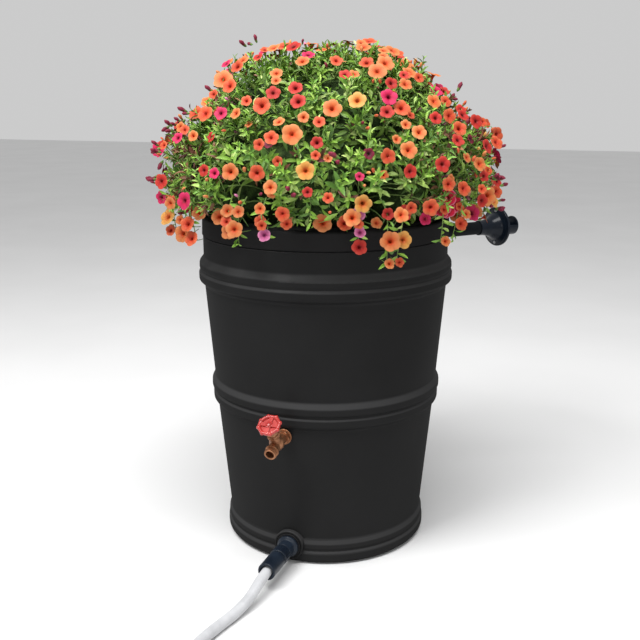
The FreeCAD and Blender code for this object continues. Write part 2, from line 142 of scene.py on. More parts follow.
def dusty(m, top_highlight, low, high):
    """Painted highlight: lightens the base colour on what faces up, such as the tops of the hoops."""
    t = m.node_tree
    b = t.nodes["Principled BSDF"]
    link = b.inputs["Base Color"].links[0]
    source = link.from_socket
    co = t.nodes.new("ShaderNodeTexCoord")
    split = t.nodes.new("ShaderNodeSeparateXYZ")
    t.links.new(co.outputs["Normal"], split.inputs["Vector"])
    mr = t.nodes.new("ShaderNodeMapRange")
    mr.interpolation_type = "SMOOTHSTEP"
    mr.inputs["From Min"].default_value = low
    mr.inputs["From Max"].default_value = high
    t.links.new(split.outputs["Z"], mr.inputs["Value"])
    mix = t.nodes.new("ShaderNodeMix")
    mix.data_type = "RGBA"
    t.links.new(mr.outputs["Result"], mix.inputs["Factor"])
    t.links.new(source, mix.inputs["A"])
    mix.inputs["B"].default_value = (*top_highlight, 1.0)
    t.links.new(mix.outputs["Result"], b.inputs["Base Color"])


# painted highlight: the barrel's upward faces, such as the hoop tops, are coloured lighter
dusty(M["barrel"], (0.034, 0.034, 0.0345), -0.02, 0.50)
M["soil"] = surface("soil", (0.012, 0.007, 0.004), (0.085, 0.052, 0.032), 90.0, (0.85, 1.0), (420.0, 0.9, 0.002), specular=0.2, detail=8.0)
M["seal"] = surface("seal_rubber", (0.006, 0.006, 0.0065), (0.012, 0.012, 0.013), 40.0, (0.55, 0.75), (900.0, 0.2, 0.0004), specular=0.15)
M["fill_hose"] = surface("fill_hose_rubber", (0.004, 0.005, 0.0062), (0.007, 0.0085, 0.0105), 22.0, (0.34, 0.50), (620.0, 0.15, 0.0004), specular=0.0, coat=0.14, coat_rough=0.32)
M["diverter"] = surface("diverter_rubber", (0.0035, 0.0058, 0.0105), (0.007, 0.0105, 0.0175), 26.0, (0.24, 0.38), (700.0, 0.12, 0.0004), specular=0.05, coat=0.26, coat_rough=0.20)
M["bronze"] = surface("bronze", (0.20, 0.080, 0.036), (0.42, 0.20, 0.105), 70.0, (0.32, 0.50), (900.0, 0.3, 0.0005), metallic=0.85, specular=0.5, detail=6.0)
M["wheel"] = surface("wheel_paint", (0.32, 0.0145, 0.013), (0.43, 0.035, 0.028), 55.0, (0.20, 0.34), (500.0, 0.18, 0.0004), specular=0.5, coat=0.2)
M["steel"] = surface("screw_steel", (0.30, 0.30, 0.31), (0.46, 0.46, 0.47), 120.0, (0.28, 0.42), (1500.0, 0.15, 0.0002), metallic=1.0)
M["packing"] = surface("packing", (0.05, 0.045, 0.04), (0.09, 0.08, 0.07), 300.0, (0.8, 0.95), (1500.0, 0.4, 0.0003))
M["drain"] = surface("drain_plastic", (0.0060, 0.0095, 0.0165), (0.0120, 0.0185, 0.0300), 34.0, (0.28, 0.42), (700.0, 0.12, 0.0004), specular=0.25)
M["nut"] = surface("nut_plastic", (0.018, 0.018, 0.020), (0.034, 0.034, 0.036), 30.0, (0.42, 0.55), (700.0, 0.15, 0.0004))
M["hose"] = surface("hose_vinyl", (0.42, 0.425, 0.44), (0.52, 0.525, 0.54), 26.0, (0.24, 0.38), (260.0, 0.10, 0.0005), specular=0.5, coat=0.1)
M["stem"] = surface("stem_green", (0.075, 0.150, 0.030), (0.230, 0.330, 0.095), 60.0, (0.55, 0.75), (900.0, 0.2, 0.0004), specular=0.3)
# painted shade: the dense middle of the planting is a mass of leaves coloured nearly black-green, standing in for the
# deep shade among them
M["core"] = surface("leaf_core", (0.007, 0.013, 0.004), (0.045, 0.082, 0.020), 65.0, (0.8, 1.0), (220.0, 1.0, 0.006), specular=0.15, detail=8.0)


def tinted(name, scale, rough, specular, vary, grain):
    """Takes the colour painted on the mesh, point by point, and mottles it a little."""
    m, t, b = material(name)
    a = t.nodes.new("ShaderNodeAttribute")
    a.attribute_name = "tint"
    n = noise_node(t, scale, 3.0, 0.6)
    r = ramp_node(t, n.outputs["Fac"], [(0.25, (vary,) * 3), (0.75, (1.0,) * 3)])
    mix = t.nodes.new("ShaderNodeMix")
    mix.data_type = "RGBA"
    mix.blend_type = "MULTIPLY"
    mix.inputs["Factor"].default_value = 1.0
    t.links.new(a.outputs["Color"], mix.inputs["A"])
    t.links.new(r.outputs["Color"], mix.inputs["B"])
    t.links.new(mix.outputs["Result"], b.inputs["Base Color"])
    rough_from(t, b, n.outputs["Fac"], rough[0], rough[1])
    b.inputs["Specular IOR Level"].default_value = specular
    bump_from(t, b, n.outputs["Fac"], grain[0], grain[1])
    return m


M["leaf"] = tinted("leaf_green", 140.0, (0.42, 0.62), 0.38, 0.62, (0.35, 0.0008))
M["petal"] = tinted("petals", 260.0, (0.50, 0.70), 0.25, 0.86, (0.25, 0.0005))

paint = {
    "barrel": ["barrel_shell"],
    "lid": ["planter_lid"],
    "seal": ["fill_seal", "tap_gasket", "tap_inner_washer", "seat_washer", "drain_gasket", "drain_inner_washer", "hose_washer"],
    "fill_hose": ["fill_hose"],
    "diverter": ["diverter"],
    "bronze": ["tap_body", "tap_lock_nut", "bonnet", "packing_nut", "valve_stem", "washer_screw", "hose_tail", "hose_end_fitting"],
    "wheel": ["handwheel", "handwheel_screw"],
    "steel": ["diverter_screws"],
    "packing": ["packing_ring"],
    "drain": ["drain_outlet", "coupling_nut", "hose_sleeve", "hose_end_sleeve"],
    "nut": ["drain_lock_nut"],
}
for key, names in paint.items():
    for n in names:
        o = frame["nodes"][n]
        o.data.materials.clear()
        o.data.materials.append(M[key])

# ------------------------------------------------------------------ leader hose
HOSE_POINTS = [
    (0.0, -0.325, 0.046), (0.0, -0.403, 0.046), (-0.004, -0.460, 0.025), (-0.017, -0.510, 0.0123),
    (-0.030, -0.563, 0.0123), (-0.040, -0.620, 0.0123), (-0.0455, -0.685, 0.0123), (-0.0460, -0.735, 0.0123),
]
# the put-away coil: direction from its centre in degrees, distance from the centre and height of each point
COIL_AT = (0.077, -0.755)
COIL_TURNS = [
    (193, 125.6, 12.3), (216, 125.6, 12.3), (240, 125.6, 12.3), (264, 125.6, 12.3), (288, 125.6, 12.3), (312, 125.6, 12.3),
    (336, 125.6, 12.3), (360, 125.6, 12.3), (384, 125.6, 12.3), (408, 125.6, 12.3), (432, 125.2, 12.3), (456, 123.0, 12.3),
    (480, 116.5, 12.3), (504, 108.0, 12.3), (528, 101.5, 12.3), (552, 99.7, 12.3), (576, 99.7, 12.3), (600, 99.7, 12.3),
    (624, 99.7, 12.3), (648, 99.7, 12.3), (672, 99.7, 12.3), (696, 99.7, 12.3), (720, 99.7, 12.3), (744, 99.7, 12.3),
    (768, 99.7, 13.5), (792, 98.5, 18.5), (816, 97.5, 27.5), (840, 98.5, 36.0), (862, 102.0, 39.8), (882, 104.5, 39.8),
]
points = list(HOSE_POINTS)
for deg, r, z in COIL_TURNS:
    a = math.radians(deg)
    points.append((COIL_AT[0] + r / 1000 * math.cos(a), COIL_AT[1] + r / 1000 * math.sin(a), z / 1000))
points += [(-0.0265, -0.745, 0.0398), (-0.0265, -0.776, 0.0398)]
curve = bpy.data.curves.new("leader_hose_run", "CURVE")
curve.dimensions = "3D"
spline = curve.splines.new("NURBS")
spline.points.add(len(points) - 1)
for p, co in zip(spline.points, points):
    p.co = (*co, 1.0)
spline.order_u = 3
spline.use_endpoint_u = True
spline.resolution_u = 10
curve.bevel_depth = 0.012
curve.bevel_resolution = 6
curve.use_fill_caps = True
hose = bpy.data.objects.new("leader_hose_run", curve)
scene.collection.objects.link(hose)
hose.data.materials.append(M["hose"])
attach(hose, "barrel")
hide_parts("leader_hose", "leader_hose_coil")


# ------------------------------------------------------------------ mesh helpers
def mesh_object(name, verts, faces, mat, tint=None, smooth=True):
    me = bpy.data.meshes.new(name)
    me.from_pydata(np.asarray(verts, float).tolist(), [], faces)
    me.update()
    if smooth:
        me.polygons.foreach_set("use_smooth", [True] * len(me.polygons))
    if tint is not None:
        at = me.color_attributes.new("tint", "FLOAT_COLOR", "POINT")
        col = np.ones((len(me.vertices), 4), np.float32)
        col[:, :3] = tint
        at.data.foreach_set("color", col.ravel())
    me.materials.append(mat)
    o = bpy.data.objects.new(name, me)
    scene.collection.objects.link(o)
    return o


class Pile:
    """Many small meshes gathered into one piece."""

    def __init__(self):
        self.v, self.f, self.c, self.n = [], [], [], 0

    def add(self, v, f, c=None):
        self.v.append(v)
        self.f += [tuple(i + self.n for i in q) for q in f]
        if c is not None:
            self.c.append(c)
        self.n += len(v)

    def make(self, name, mat):
        return mesh_object(name, np.vstack(self.v), self.f, mat, np.vstack(self.c) if self.c else None)


def unit(v):
    return v / max(np.linalg.norm(v), 1e-9)


def basis(y, z):
    """Columns x, y, z with y kept and z made square to it."""
    y = unit(y)
    x = np.cross(y, z)
    if np.linalg.norm(x) < 1e-5:
        x = np.cross(y, np.array([0.3, 0.5, 0.8]))
    x = unit(x)
    return np.column_stack([x, y, np.cross(x, y)])


def tube(path, radii, sides=5):
    """A closed thin tube along points."""
    path = np.asarray(path, float)
    n = len(path)
    tan = np.gradient(path, axis=0)
    ref = np.array([0.31, 0.17, 0.93])
    v = []
    for i in range(n):
        b = basis(tan[i], ref)
        ref = b[:, 2]
        for k in range(sides):
            a = 2 * math.pi * k / sides
            v.append(path[i] + radii[i] * (b[:, 0] * math.cos(a) + b[:, 2] * math.sin(a)))
    f = []
    for i in range(n - 1):
        for k in range(sides):
            a, b2 = i * sides + k, i * sides + (k + 1) % sides
            f.append((a, b2, b2 + sides, a + sides))
    f.append(tuple(range(sides - 1, -1, -1)))
    f.append(tuple(range((n - 1) * sides, n * sides)))
    return np.array(v), f


# ------------------------------------------------------------------ the planting's outline: radius and height from rim to top, in metres
OUTLINE = np.array([
    (0.332, 0.818), (0.378, 0.820), (0.398, 0.838), (0.406, 0.870), (0.403, 0.915), (0.396, 0.957), (0.374, 1.010), (0.342, 1.060),
    (0.302, 1.102), (0.248, 1.141), (0.184, 1.170), (0.126, 1.185), (0.055, 1.193), (0.0, 1.196),
])
seg = np.diff(OUTLINE, axis=0)
seg_len = np.hypot(seg[:, 0], seg[:, 1])
seg_area = seg_len * (OUTLINE[:-1, 0] + OUTLINE[1:, 0]) / 2
cum_area = np.concatenate([[0], np.cumsum(seg_area)]) / seg_area.sum()
CENTRE = np.array([0.0, 0.0, 0.86])


# how far the planting's top bulges or dips from left to right, as seen from the tap's side
TOP_AT = [-0.42, -0.34, -0.29, -0.245, -0.225, -0.207, -0.18, -0.149, -0.12, -0.09, -0.05, -0.013, 0.03, 0.044, 0.10, 0.14,
          0.165, 0.19, 0.205, 0.218, 0.24, 0.277, 0.334, 0.373, 0.42]
TOP_SHARE = [0.90, 0.87, 0.88, 0.90, 0.95, 0.985, 0.965, 0.96, 0.945, 0.955, 0.95, 0.945, 0.965, 0.98, 0.985, 1.0,
             0.97, 0.915, 0.93, 0.965, 0.965, 0.90, 0.88, 0.86, 0.88]


def swell(p):
    """How far the planting bulges or dips at a place, as a share."""
    across = p[0] * math.cos(AZ) + p[1] * math.sin(AZ)
    w = min(1.0, max(0.0, (p[2] - 0.97) / 0.11))
    w = w * w * (3 - 2 * w)
    low = float(np.interp(across, [-0.40, -0.28, -0.15, 0.4], [0.955, 0.965, 1.0, 1.0]))
    k = low * (1 - w) + float(np.interp(across, TOP_AT, TOP_SHARE)) * w
    d = Vector((p[0] * 2.7, p[1] * 2.7, p[2] * 2.6))
    return k * (1.0 + 0.030 * noise.noise(d * 2.1) + 0.030 * noise.noise(d * 5.3 + Vector((7, 3, 1))))


def on_outline(az, s):
    """Place and outward direction at an azimuth, for a share s of the area from rim to top."""
    i = min(int(np.searchsorted(cum_area, s, side="right")) - 1, len(seg) - 1)
    t = (s - cum_area[i]) / (cum_area[i + 1] - cum_area[i])
    r, z = OUTLINE[i] + seg[i] * t
    nr, nz = seg[i][1] / seg_len[i], -seg[i][0] / seg_len[i]
    p = np.array([r * math.cos(az), r * math.sin(az), z])
    return CENTRE + (p - CENTRE) * swell(p), unit(np.array([nr * math.cos(az), nr * math.sin(az), nz]))


def turned_deg(az):
    return (math.degrees(az) + 180.0) % 360.0 - 180.0


def polar(deg, r, z):
    a = math.radians(deg)
    return np.array([r / 1000 * math.cos(a), r / 1000 * math.sin(a), z / 1000])


# trailing stems: direction, radius and height along each, in degrees and millimetres; the front ones are spread with a fixed seed
trail_rng = np.random.default_rng(31)
TRAILS = []
for k in range(12):
    deg = -148 + 11.2 * (k + trail_rng.uniform(0.1, 0.9))
    lean, drop = trail_rng.uniform(-3, 3), trail_rng.choice([26, 44, 70, 104])
    reach = trail_rng.uniform(352, 382)
    trail = [(deg, 342, 868), (deg + 0.4 * lean, reach, 838), (deg + 0.8 * lean, reach - 2, 838 - 0.55 * drop)]
    TRAILS.append(trail + [(deg + lean, reach - 8, 838 - drop)] if drop > 40 else trail)
TRAILS += [
    [(100, 340, 868), (103, 360, 830), (104, 356, 770)],
    [(122, 350, 870), (121, 374, 836), (120, 372, 800)],
    [(150, 340, 868), (148, 358, 832), (147, 352, 765), (149, 346, 728)],
    [(171, 350, 868), (173, 376, 832), (174, 372, 790)],
    [(8, 350, 868), (9, 374, 834), (10, 370, 796)],
    [(80, 345, 868), (79, 362, 836), (78, 358, 806)],
]

# front and sides: spread over the mound with a fixed seed, in loose groups and clear of each other; direction in degrees, radius and height in millimetres, colour, width in millimetres
front_rng = np.random.default_rng(4127)
WIDTHS = {"P": (21, 42), "C": (19, 36), "R": (19, 33), "D": (17, 28), "M": (20, 38), "Y": (28, 41), "V": (22, 33)}
FRONT = [(-24, 352, 836, "K", 58)]
for trail in TRAILS[:12]:
    for deg, r, z in trail[1:]:
        if front_rng.uniform() < 0.75:
            kind = str(front_rng.choice(["P", "C", "R", "V", "Y"], p=[0.36, 0.30, 0.14, 0.12, 0.08]))
            FRONT.append((deg, r, z, kind, front_rng.uniform(*WIDTHS[kind])))
placed_at = [polar(*f[:3]) for f in FRONT]
for _ in range(20000):
    if len(FRONT) >= 185:
        break
    if front_rng.uniform() < 0.45:
        near = placed_at[front_rng.integers(len(placed_at))]
        deg = math.degrees(math.atan2(near[1], near[0])) + front_rng.normal(0, 5)
        share = float(np.clip((near[2] - 0.83) / 0.37 + front_rng.normal(0, 0.06), 0.03, 0.95))
    else:
        deg, share = front_rng.uniform(-154, 16), front_rng.uniform(0.03, 0.95)
    if not -154 < deg < 16:
        continue
    p, n = on_outline(math.radians(deg), share)
    side = abs(deg + 69) > 60
    kind = str(front_rng.choice(["P", "C", "R", "D", "M", "Y"], p=[0.16, 0.18, 0.24, 0.28, 0.12, 0.02] if side else [0.40, 0.32, 0.13, 0.05, 0.05, 0.05]))
    mm = front_rng.uniform(*WIDTHS[kind])
    if any(np.linalg.norm(p - q) < (mm + f[4]) / 2000 * 0.95 for q, f in zip(placed_at, FRONT)):
        continue
    placed_at.append(p)
    FRONT.append((math.degrees(math.atan2(p[1], p[0])), 1000 * math.hypot(p[0], p[1]), 1000 * p[2], kind, mm))


def outward(az, z):
    """The outline's outward direction at a height."""
    i = int(np.clip(np.searchsorted(OUTLINE[:, 1], z) - 1, 0, len(seg) - 1))
    nr, nz = seg[i][1] / seg_len[i], -seg[i][0] / seg_len[i]
    if z < 0.84:
        nr, nz = 0.96, 0.28
    return unit(np.array([nr * math.cos(az), nr * math.sin(az), nz]))


KEEP_AT, KEEP_R = [], []
for deg, r, z, kind, mm in FRONT:
    if kind == "D" and mm < 30:
        continue
    n = outward(math.radians(deg), z / 1000)
    KEEP_AT.append(polar(deg, r, z) + n * (0.012 if z > 815 else 0.022))
    KEEP_R.append((0.030 if kind == "K" else max(mm, 20) / 2000) * 1.0 + 0.003)
KEEP_AT, KEEP_R = np.array(KEEP_AT), np.array(KEEP_R)


def hides_flower(a, b):
    """True where a leaf from a to b would lie over a front flower."""
    m = a * 0.4 + b * 0.6
    return bool((np.linalg.norm(KEEP_AT - m, axis=1) < KEEP_R).any() or (np.linalg.norm(KEEP_AT - b, axis=1) < KEEP_R).any())


# ------------------------------------------------------------------ leaves
LEAF_ROWS = [(0.0, 0.14, 0.0), (0.30, 0.80, 0.02), (0.58, 1.0, -0.02), (0.82, 0.62, -0.09)]
leaf_v = []
for t, w, z in LEAF_ROWS:
    leaf_v += [(-0.5 * w, t, z + 0.10 * w), (0.0, t, z), (0.5 * w, t, z + 0.10 * w)]
leaf_v.append((0.0, 1.0, -0.17))
LEAF_V = np.array(leaf_v)
LEAF_F = []
for r in range(3):
    for c in range(2):
        a = r * 3 + c
        LEAF_F.append((a, a + 1, a + 4, a + 3))
LEAF_F += [(9, 10, 12), (10, 11, 12)]


def leaf(pile, at, along, up, length, width, colour, droop=1.0, free=False):
    if not free and hides_flower(at, at + unit(along) * length):
        return
    v = LEAF_V * np.array([width, length, length * droop])
    b = basis(along, up)
    shade = np.repeat(colour[None, :], len(v), 0)
    shade[1::3] *= 1.18
    shade[-1] = colour * 1.05
    pile.add(v @ b.T + at, LEAF_F, shade)


GREENS = np.array([(0.210, 0.395, 0.044), (0.270, 0.475, 0.062), (0.145, 0.305, 0.040), (0.380, 0.565, 0.118), (0.105, 0.230, 0.034), (0.460, 0.590, 0.180)])
GREEN_P = [0.27, 0.24, 0.20, 0.13, 0.10, 0.06]


RUSTS = np.array([(0.170, 0.060, 0.035), (0.240, 0.110, 0.045), (0.110, 0.018, 0.028)])


# the first argument scales the leaf colour as painted shade: low for leaves deep in the planting, higher for those out
# in front
def green(depth_shade=1.0, rust=0.0):
    if rust and rng.uniform() < rust:
        return RUSTS[rng.choice(3, p=[0.45, 0.35, 0.20])] * rng.uniform(0.8, 1.2) * depth_shade
    return GREENS[rng.choice(len(GREENS), p=GREEN_P)] * rng.uniform(0.8, 1.2) * depth_shade


leaves = [Pile() for _ in range(3)]
stems = Pile()


def shoot(base, tip, out, count, size, depth_shade=1.0, stem_r=0.0011, lift=0.35, rust=0.0):
    """A leafy stem end: a bent stem with leaves spiralling up it, long at the foot and short at the tip, painted darker
    towards the foot as shade.
    """
    mid = (base + tip) / 2 + out * 0.10 * np.linalg.norm(tip - base) + rng.normal(0, 0.004, 3)
    ts = np.linspace(0, 1, 5)
    line = [(1 - t) ** 2 * base + 2 * t * (1 - t) * mid + t * t * tip for t in ts]
    v, f = tube(line, np.linspace(stem_r, stem_r * 0.6, 5), 4)
    stems.add(v, f)
    spin = rng.uniform(0, 2 * math.pi)
    for i in range(count):
        t = (i + 0.6) / count
        at = (1 - t) ** 2 * base + 2 * t * (1 - t) * mid + t * t * tip
        d = unit(2 * (1 - t) * (mid - base) + 2 * t * (tip - mid))
        b = basis(d, out)
        a = spin + i * 2.40
        side = b[:, 0] * math.cos(a) + b[:, 2] * math.sin(a)
        grow = 1.0 - 0.55 * max(0.0, t - 0.35) / 0.65
        along = side * (1.0 - 0.45 * t) + d * (lift + 0.75 * t) + rng.normal(0, 0.13, 3)
        length = size * grow * rng.uniform(0.82, 1.15)
        leaf(leaves[i % 3], at, along, d + rng.normal(0, 0.2, 3), length, length * rng.uniform(0.27, 0.36), green(depth_shade * (0.72 + 0.38 * t), rust), rng.uniform(0.6, 1.6))


def low_edge(deg):
    """The lowest height at which the planting stands out past the lid, by direction."""
    z = 0.845
    if -150 < deg < -112:
        z = 0.825
    if -110 < deg < -60:
        z = 0.868
    if -106 < deg < -86:
        z = 0.905
    if -62 < deg < -36:
        z = 0.892
    return z


SHOOTS = 760
made = 0
while made < SHOOTS:
    az = rng.uniform(0, 2 * math.pi)
    s = rng.uniform(0.0, 1.0)
    p, n = on_outline(az, s)
    edge = low_edge(turned_deg(az))
    if p[2] < edge and math.hypot(p[0], p[1]) > 0.20:
        if edge > 0.875 or rng.uniform() < 0.85:
            continue
    reach = rng.uniform(0.93, 1.02)
    if rng.uniform() < 0.12:
        reach += rng.uniform(0.02, 0.05)
    tip = CENTRE + (p - CENTRE) * reach
    out = unit(n + np.array([0, 0, 0.25]) + rng.normal(0, 0.30, 3))
    base = tip - out * rng.uniform(0.055, 0.095)
    if edge > 0.875 and min(tip[2], base[2] + 0.03) < edge and math.hypot(p[0], p[1]) > 0.20:
        continue
    across = p[0] * math.cos(AZ) + p[1] * math.sin(AZ)
    rust = 0.05 + 0.22 * min(1.0, max(0.0, (abs(across) - 0.17) / 0.12))
    # shoots that reach less far out are painted darker, as shade
    shoot(base, tip, n, int(rng.integers(11, 16)), rng.uniform(0.024, 0.033), depth_shade=0.62 + 0.42 * min(1.0, reach), rust=rust * (rng.uniform() < 0.55) * 1.8)
    made += 1

# deeper leaves, painted darker as shade inside the planting
for i in range(3200):
    az = rng.uniform(0, 2 * math.pi)
    p, n = on_outline(az, rng.uniform(0, 1))
    at = CENTRE + (p - CENTRE) * rng.uniform(0.74, 0.90)
    if at[2] < (0.900 if -107 < turned_deg(az) < -86 or -58 < turned_deg(az) < -36 else 0.825):
        continue
    along = unit(rng.normal(0, 1, 3) + n * 0.8)
    leaf(leaves[i % 3], at, along, n + rng.normal(0, 0.4, 3), rng.uniform(0.024, 0.036), rng.uniform(0.008, 0.012), green(0.55))

# long stems from the soil to the canopy
for i in range(260):
    az = rng.uniform(0, 2 * math.pi)
    p, n = on_outline(az, rng.uniform(0, 1))
    r0 = 0.20 * math.sqrt(rng.uniform(0, 1))
    a0 = az + rng.normal(0, 0.5)
    base = np.array([r0 * math.cos(a0), r0 * math.sin(a0), 0.786])
    tip = CENTRE + (p - CENTRE) * rng.uniform(0.86, 0.97)
    mid = np.array([tip[0] * 0.55, tip[1] * 0.55, max(tip[2], 0.86) * 0.55 + 0.45 * 0.90])
    line = [(1 - t) ** 2 * base + 2 * t * (1 - t) * mid + t * t * tip for t in np.linspace(0, 1, 8)]
    v, f = tube(line, np.linspace(0.0024, 0.0010, 8), 5)
    stems.add(v, f)

# ------------------------------------------------------------------ trailing stems


for trail in TRAILS:
    key = [polar(*q) for q in trail]
    line = []
    for i in range(len(key) - 1):
        a, b = key[max(i - 1, 0)], key[i]
        c, d = key[i + 1], key[min(i + 2, len(key) - 1)]
        for t in np.linspace(0, 1, 7)[:-1]:
            line.append(0.5 * (2 * b + (c - a) * t + (2 * a - 5 * b + 4 * c - d) * t * t + (3 * b - a - 3 * c + d) * t ** 3))
    line.append(key[-1])
    line = np.array(line)
    v, f = tube(line, np.linspace(0.0016, 0.0009, len(line)), 5)
    stems.add(v, f)
    step = np.linalg.norm(np.diff(line, axis=0), axis=1)
    dist = np.concatenate([[0], np.cumsum(step)])
    spin = rng.uniform(0, 6)
    for j, q in enumerate(np.arange(0.006, dist[-1], 0.0062)):
        i = min(int(np.searchsorted(dist, q)) - 1, len(line) - 2)
        at = line[i] + (line[i + 1] - line[i]) * ((q - dist[i]) / step[i])
        d = unit(line[i + 1] - line[i])
        radial = unit(np.array([at[0], at[1], 0.0]))
        b = basis(d, radial)
        a = spin + j * 2.4
        side = b[:, 0] * math.cos(a) + b[:, 2] * math.sin(a)
        if np.dot(side, radial) < -0.35:
            side = side - 2 * np.dot(side, radial) * radial
        along = side + d * 0.55 + np.array([0, 0, 0.15]) + rng.normal(0, 0.15, 3)
        length = rng.uniform(0.018, 0.027)
        # leaves on the trailing stems are painted a little lighter, as light on the outside of the planting
        leaf(leaves[j % 3], at, along, radial + rng.normal(0, 0.25, 3), length, length * rng.uniform(0.26, 0.34), green(1.08))

# ------------------------------------------------------------------ flowers
# colours from the throat to the rim
TONES = {
    "P": [(0.44, 0.038, 0.006), (0.49, 0.072, 0.013), (0.52, 0.136, 0.036), (0.54, 0.200, 0.072)],
    "C": [(0.31, 0.017, 0.005), (0.45, 0.032, 0.009), (0.49, 0.064, 0.020), (0.51, 0.114, 0.044)],
    "R": [(0.13, 0.004, 0.003), (0.31, 0.007, 0.006), (0.40, 0.016, 0.011), (0.44, 0.045, 0.028)],
    "Y": [(0.42, 0.068, 0.010), (0.50, 0.128, 0.018), (0.54, 0.232, 0.045), (0.56, 0.300, 0.082)],
    "M": [(0.13, 0.001, 0.015), (0.37, 0.004, 0.036), (0.46, 0.009, 0.068), (0.51, 0.026, 0.100)],
    "K": [(0.10, 0.001, 0.004), (0.37, 0.002, 0.011), (0.47, 0.004, 0.026), (0.54, 0.011, 0.058)],
    "V": [(0.22, 0.022, 0.100), (0.42, 0.060, 0.190), (0.53, 0.115, 0.270), (0.62, 0.220, 0.380)],
    "D": [(0.026, 0.002, 0.005), (0.070, 0.003, 0.012), (0.130, 0.006, 0.022), (0.210, 0.016, 0.042)],
}
SIDES = 30
RINGS = [  # radius and height as shares of the flower's width, and the place in its colours
    (0.040, -0.42, 0.30), (0.066, -0.20, 0.12), (0.104, -0.095, 0.03), (0.150, -0.050, 0.26), (0.235, -0.018, 0.52),
    (0.340, 0.004, 0.74), (0.440, 0.010, 0.92), (0.500, 0.000, 1.00),
]


def tone(kind, t):
    q = TONES[kind]
    x = t * (len(q) - 1)
    i = min(int(x), len(q) - 2)
    a, b = np.array(q[i]), np.array(q[i + 1])
    return a + (b - a) * (x - i)


def blossom(pile, at, facing, width, kind):
    """A shallow trumpet of five joined lobes on a narrow tube."""
    spin = rng.uniform(0, 2 * math.pi)
    cup = rng.uniform(0.6, 1.5)
    open_up = rng.uniform(0.84, 1.08)
    lobe = rng.uniform(0.10, 0.17)
    v, c = [], []
    tint = rng.uniform(0.90, 1.10)
    shift = rng.normal(0, 0.03)
    for rr, zz, tt in RINGS:
        share = (rr / 0.5) ** 2
        for k in range(SIDES):
            a = 2 * math.pi * k / SIDES
            wave = abs(math.cos(2.5 * a))
            notch = 1.0 - lobe * share * (1.0 - wave) ** 1.4
            r = rr * notch * (1.0 + 0.03 * share * math.sin(3 * a + spin))
            z = zz * (cup if zz < 0 else 1.0) + share * (0.045 * (wave - 0.5) - 0.030 * (1.5 - open_up) + 0.02 * math.sin(2 * a + spin))
            z -= 0.018 * (1 - share) * (1 - wave) * (rr > 0.14)
            v.append((r * width * math.cos(a + spin), r * width * math.sin(a + spin), z * width * open_up))
            # painted shade: the petals are coloured darker along the creases between the lobes
            crease_shade = 1.0 - 0.16 * (1.0 - wave) ** 3 * (rr > 0.14)
            if kind == "K" and tt == 1.0:
                c.append(np.array((0.66, 0.22, 0.30)))
                continue
            c.append(tone(kind, min(1.0, max(0.0, tt + shift * (0.2 < tt < 0.95)))) * tint * crease_shade)
    n = len(RINGS)
    f = []
    for i in range(n - 1):
        for k in range(SIDES):
            a, b = i * SIDES + k, i * SIDES + (k + 1) % SIDES
            f.append((a, b, b + SIDES, a + SIDES))
    f.append(tuple(range(SIDES - 1, -1, -1)))
    facing = unit(facing)
    x = unit(np.cross(facing, np.array([0.2, 0.3, 0.9])))
    b = np.column_stack([x, np.cross(facing, x), facing])
    pile.add(np.array(v) @ b.T + at, f, np.clip(np.array(c), 0, 1))
    return at - facing * 0.46 * cup * width * open_up


def bud(pile, at, along, size, kind):
    """A closed, twisted bud on its green calyx."""
    sides, rows = 8, [(0.05, 0.0), (0.13, 0.18), (0.16, 0.42), (0.20, 0.62), (0.17, 0.82), (0.05, 1.0)]
    b = basis(along, np.array([0.2, 0.4, 0.9]))
    v, c = [], []
    for r, t in rows:
        for k in range(sides):
            a = 2 * math.pi * k / sides + t * 1.2
            rr = r * size * (1 + 0.18 * math.cos(5 * a))
            v.append(at + b[:, 1] * t * size + (b[:, 0] * math.cos(a) + b[:, 2] * math.sin(a)) * rr)
            c.append(np.array((0.12, 0.26, 0.05)) if t < 0.3 else tone(kind, 0.5 + 0.5 * t))
    f = []
    for i in range(len(rows) - 1):
        for k in range(sides):
            p, q = i * sides + k, i * sides + (k + 1) % sides
            f.append((p, q, q + sides, p + sides))
    f.append(tuple(range(sides - 1, -1, -1)))
    f.append(tuple(range((len(rows) - 1) * sides, len(rows) * sides)))
    pile.add(np.array(v), f, np.clip(np.array(c), 0, 1))


TOWARDS = unit(np.array([0.34, -0.92, 0.30]))
piles = {"flowers_peach": Pile(), "flowers_coral": Pile(), "flowers_red": Pile(), "flowers_pink": Pile(), "buds": Pile()}
GROUP = {"P": "flowers_peach", "Y": "flowers_peach", "C": "flowers_coral", "R": "flowers_red", "D": "flowers_pink", "M": "flowers_pink", "K": "flowers_pink", "V": "flowers_pink"}
placed = []


def stalk(foot, n, hang):
    end = foot - n * rng.uniform(0.030, 0.050) + np.array([0, 0, 0.020 if hang else -0.014]) + rng.normal(0, 0.005, 3)
    mid = (foot + end) / 2 - n * 0.004
    line = [(1 - t) ** 2 * foot + 2 * t * (1 - t) * mid + t * t * end for t in np.linspace(0, 1, 4)]
    v, f = tube(line, [0.0013, 0.0009, 0.0009, 0.0009], 4)
    stems.add(v, f)
    # the calyx: five narrow green lobes round the foot
    for k in range(5):
        a = 2 * math.pi * k / 5
        b = basis(n, np.array([0.1, 0.2, 0.97]))
        side = b[:, 0] * math.cos(a) + b[:, 2] * math.sin(a)
        leaf(leaves[k % 3], foot - n * 0.003, n * 0.9 + side * 0.35, side, 0.011, 0.0026, green(1.0), 0.3, free=True)


def add_flower(at, n, kind, width, towards=0.0):
    facing = unit(n + TOWARDS * towards + np.array([0, 0, 0.10]) + rng.normal(0, 0.16, 3))
    foot = blossom(piles[GROUP[kind]], at, facing, width, kind)
    stalk(foot, facing, at[2] < 0.83)
    placed.append(at)


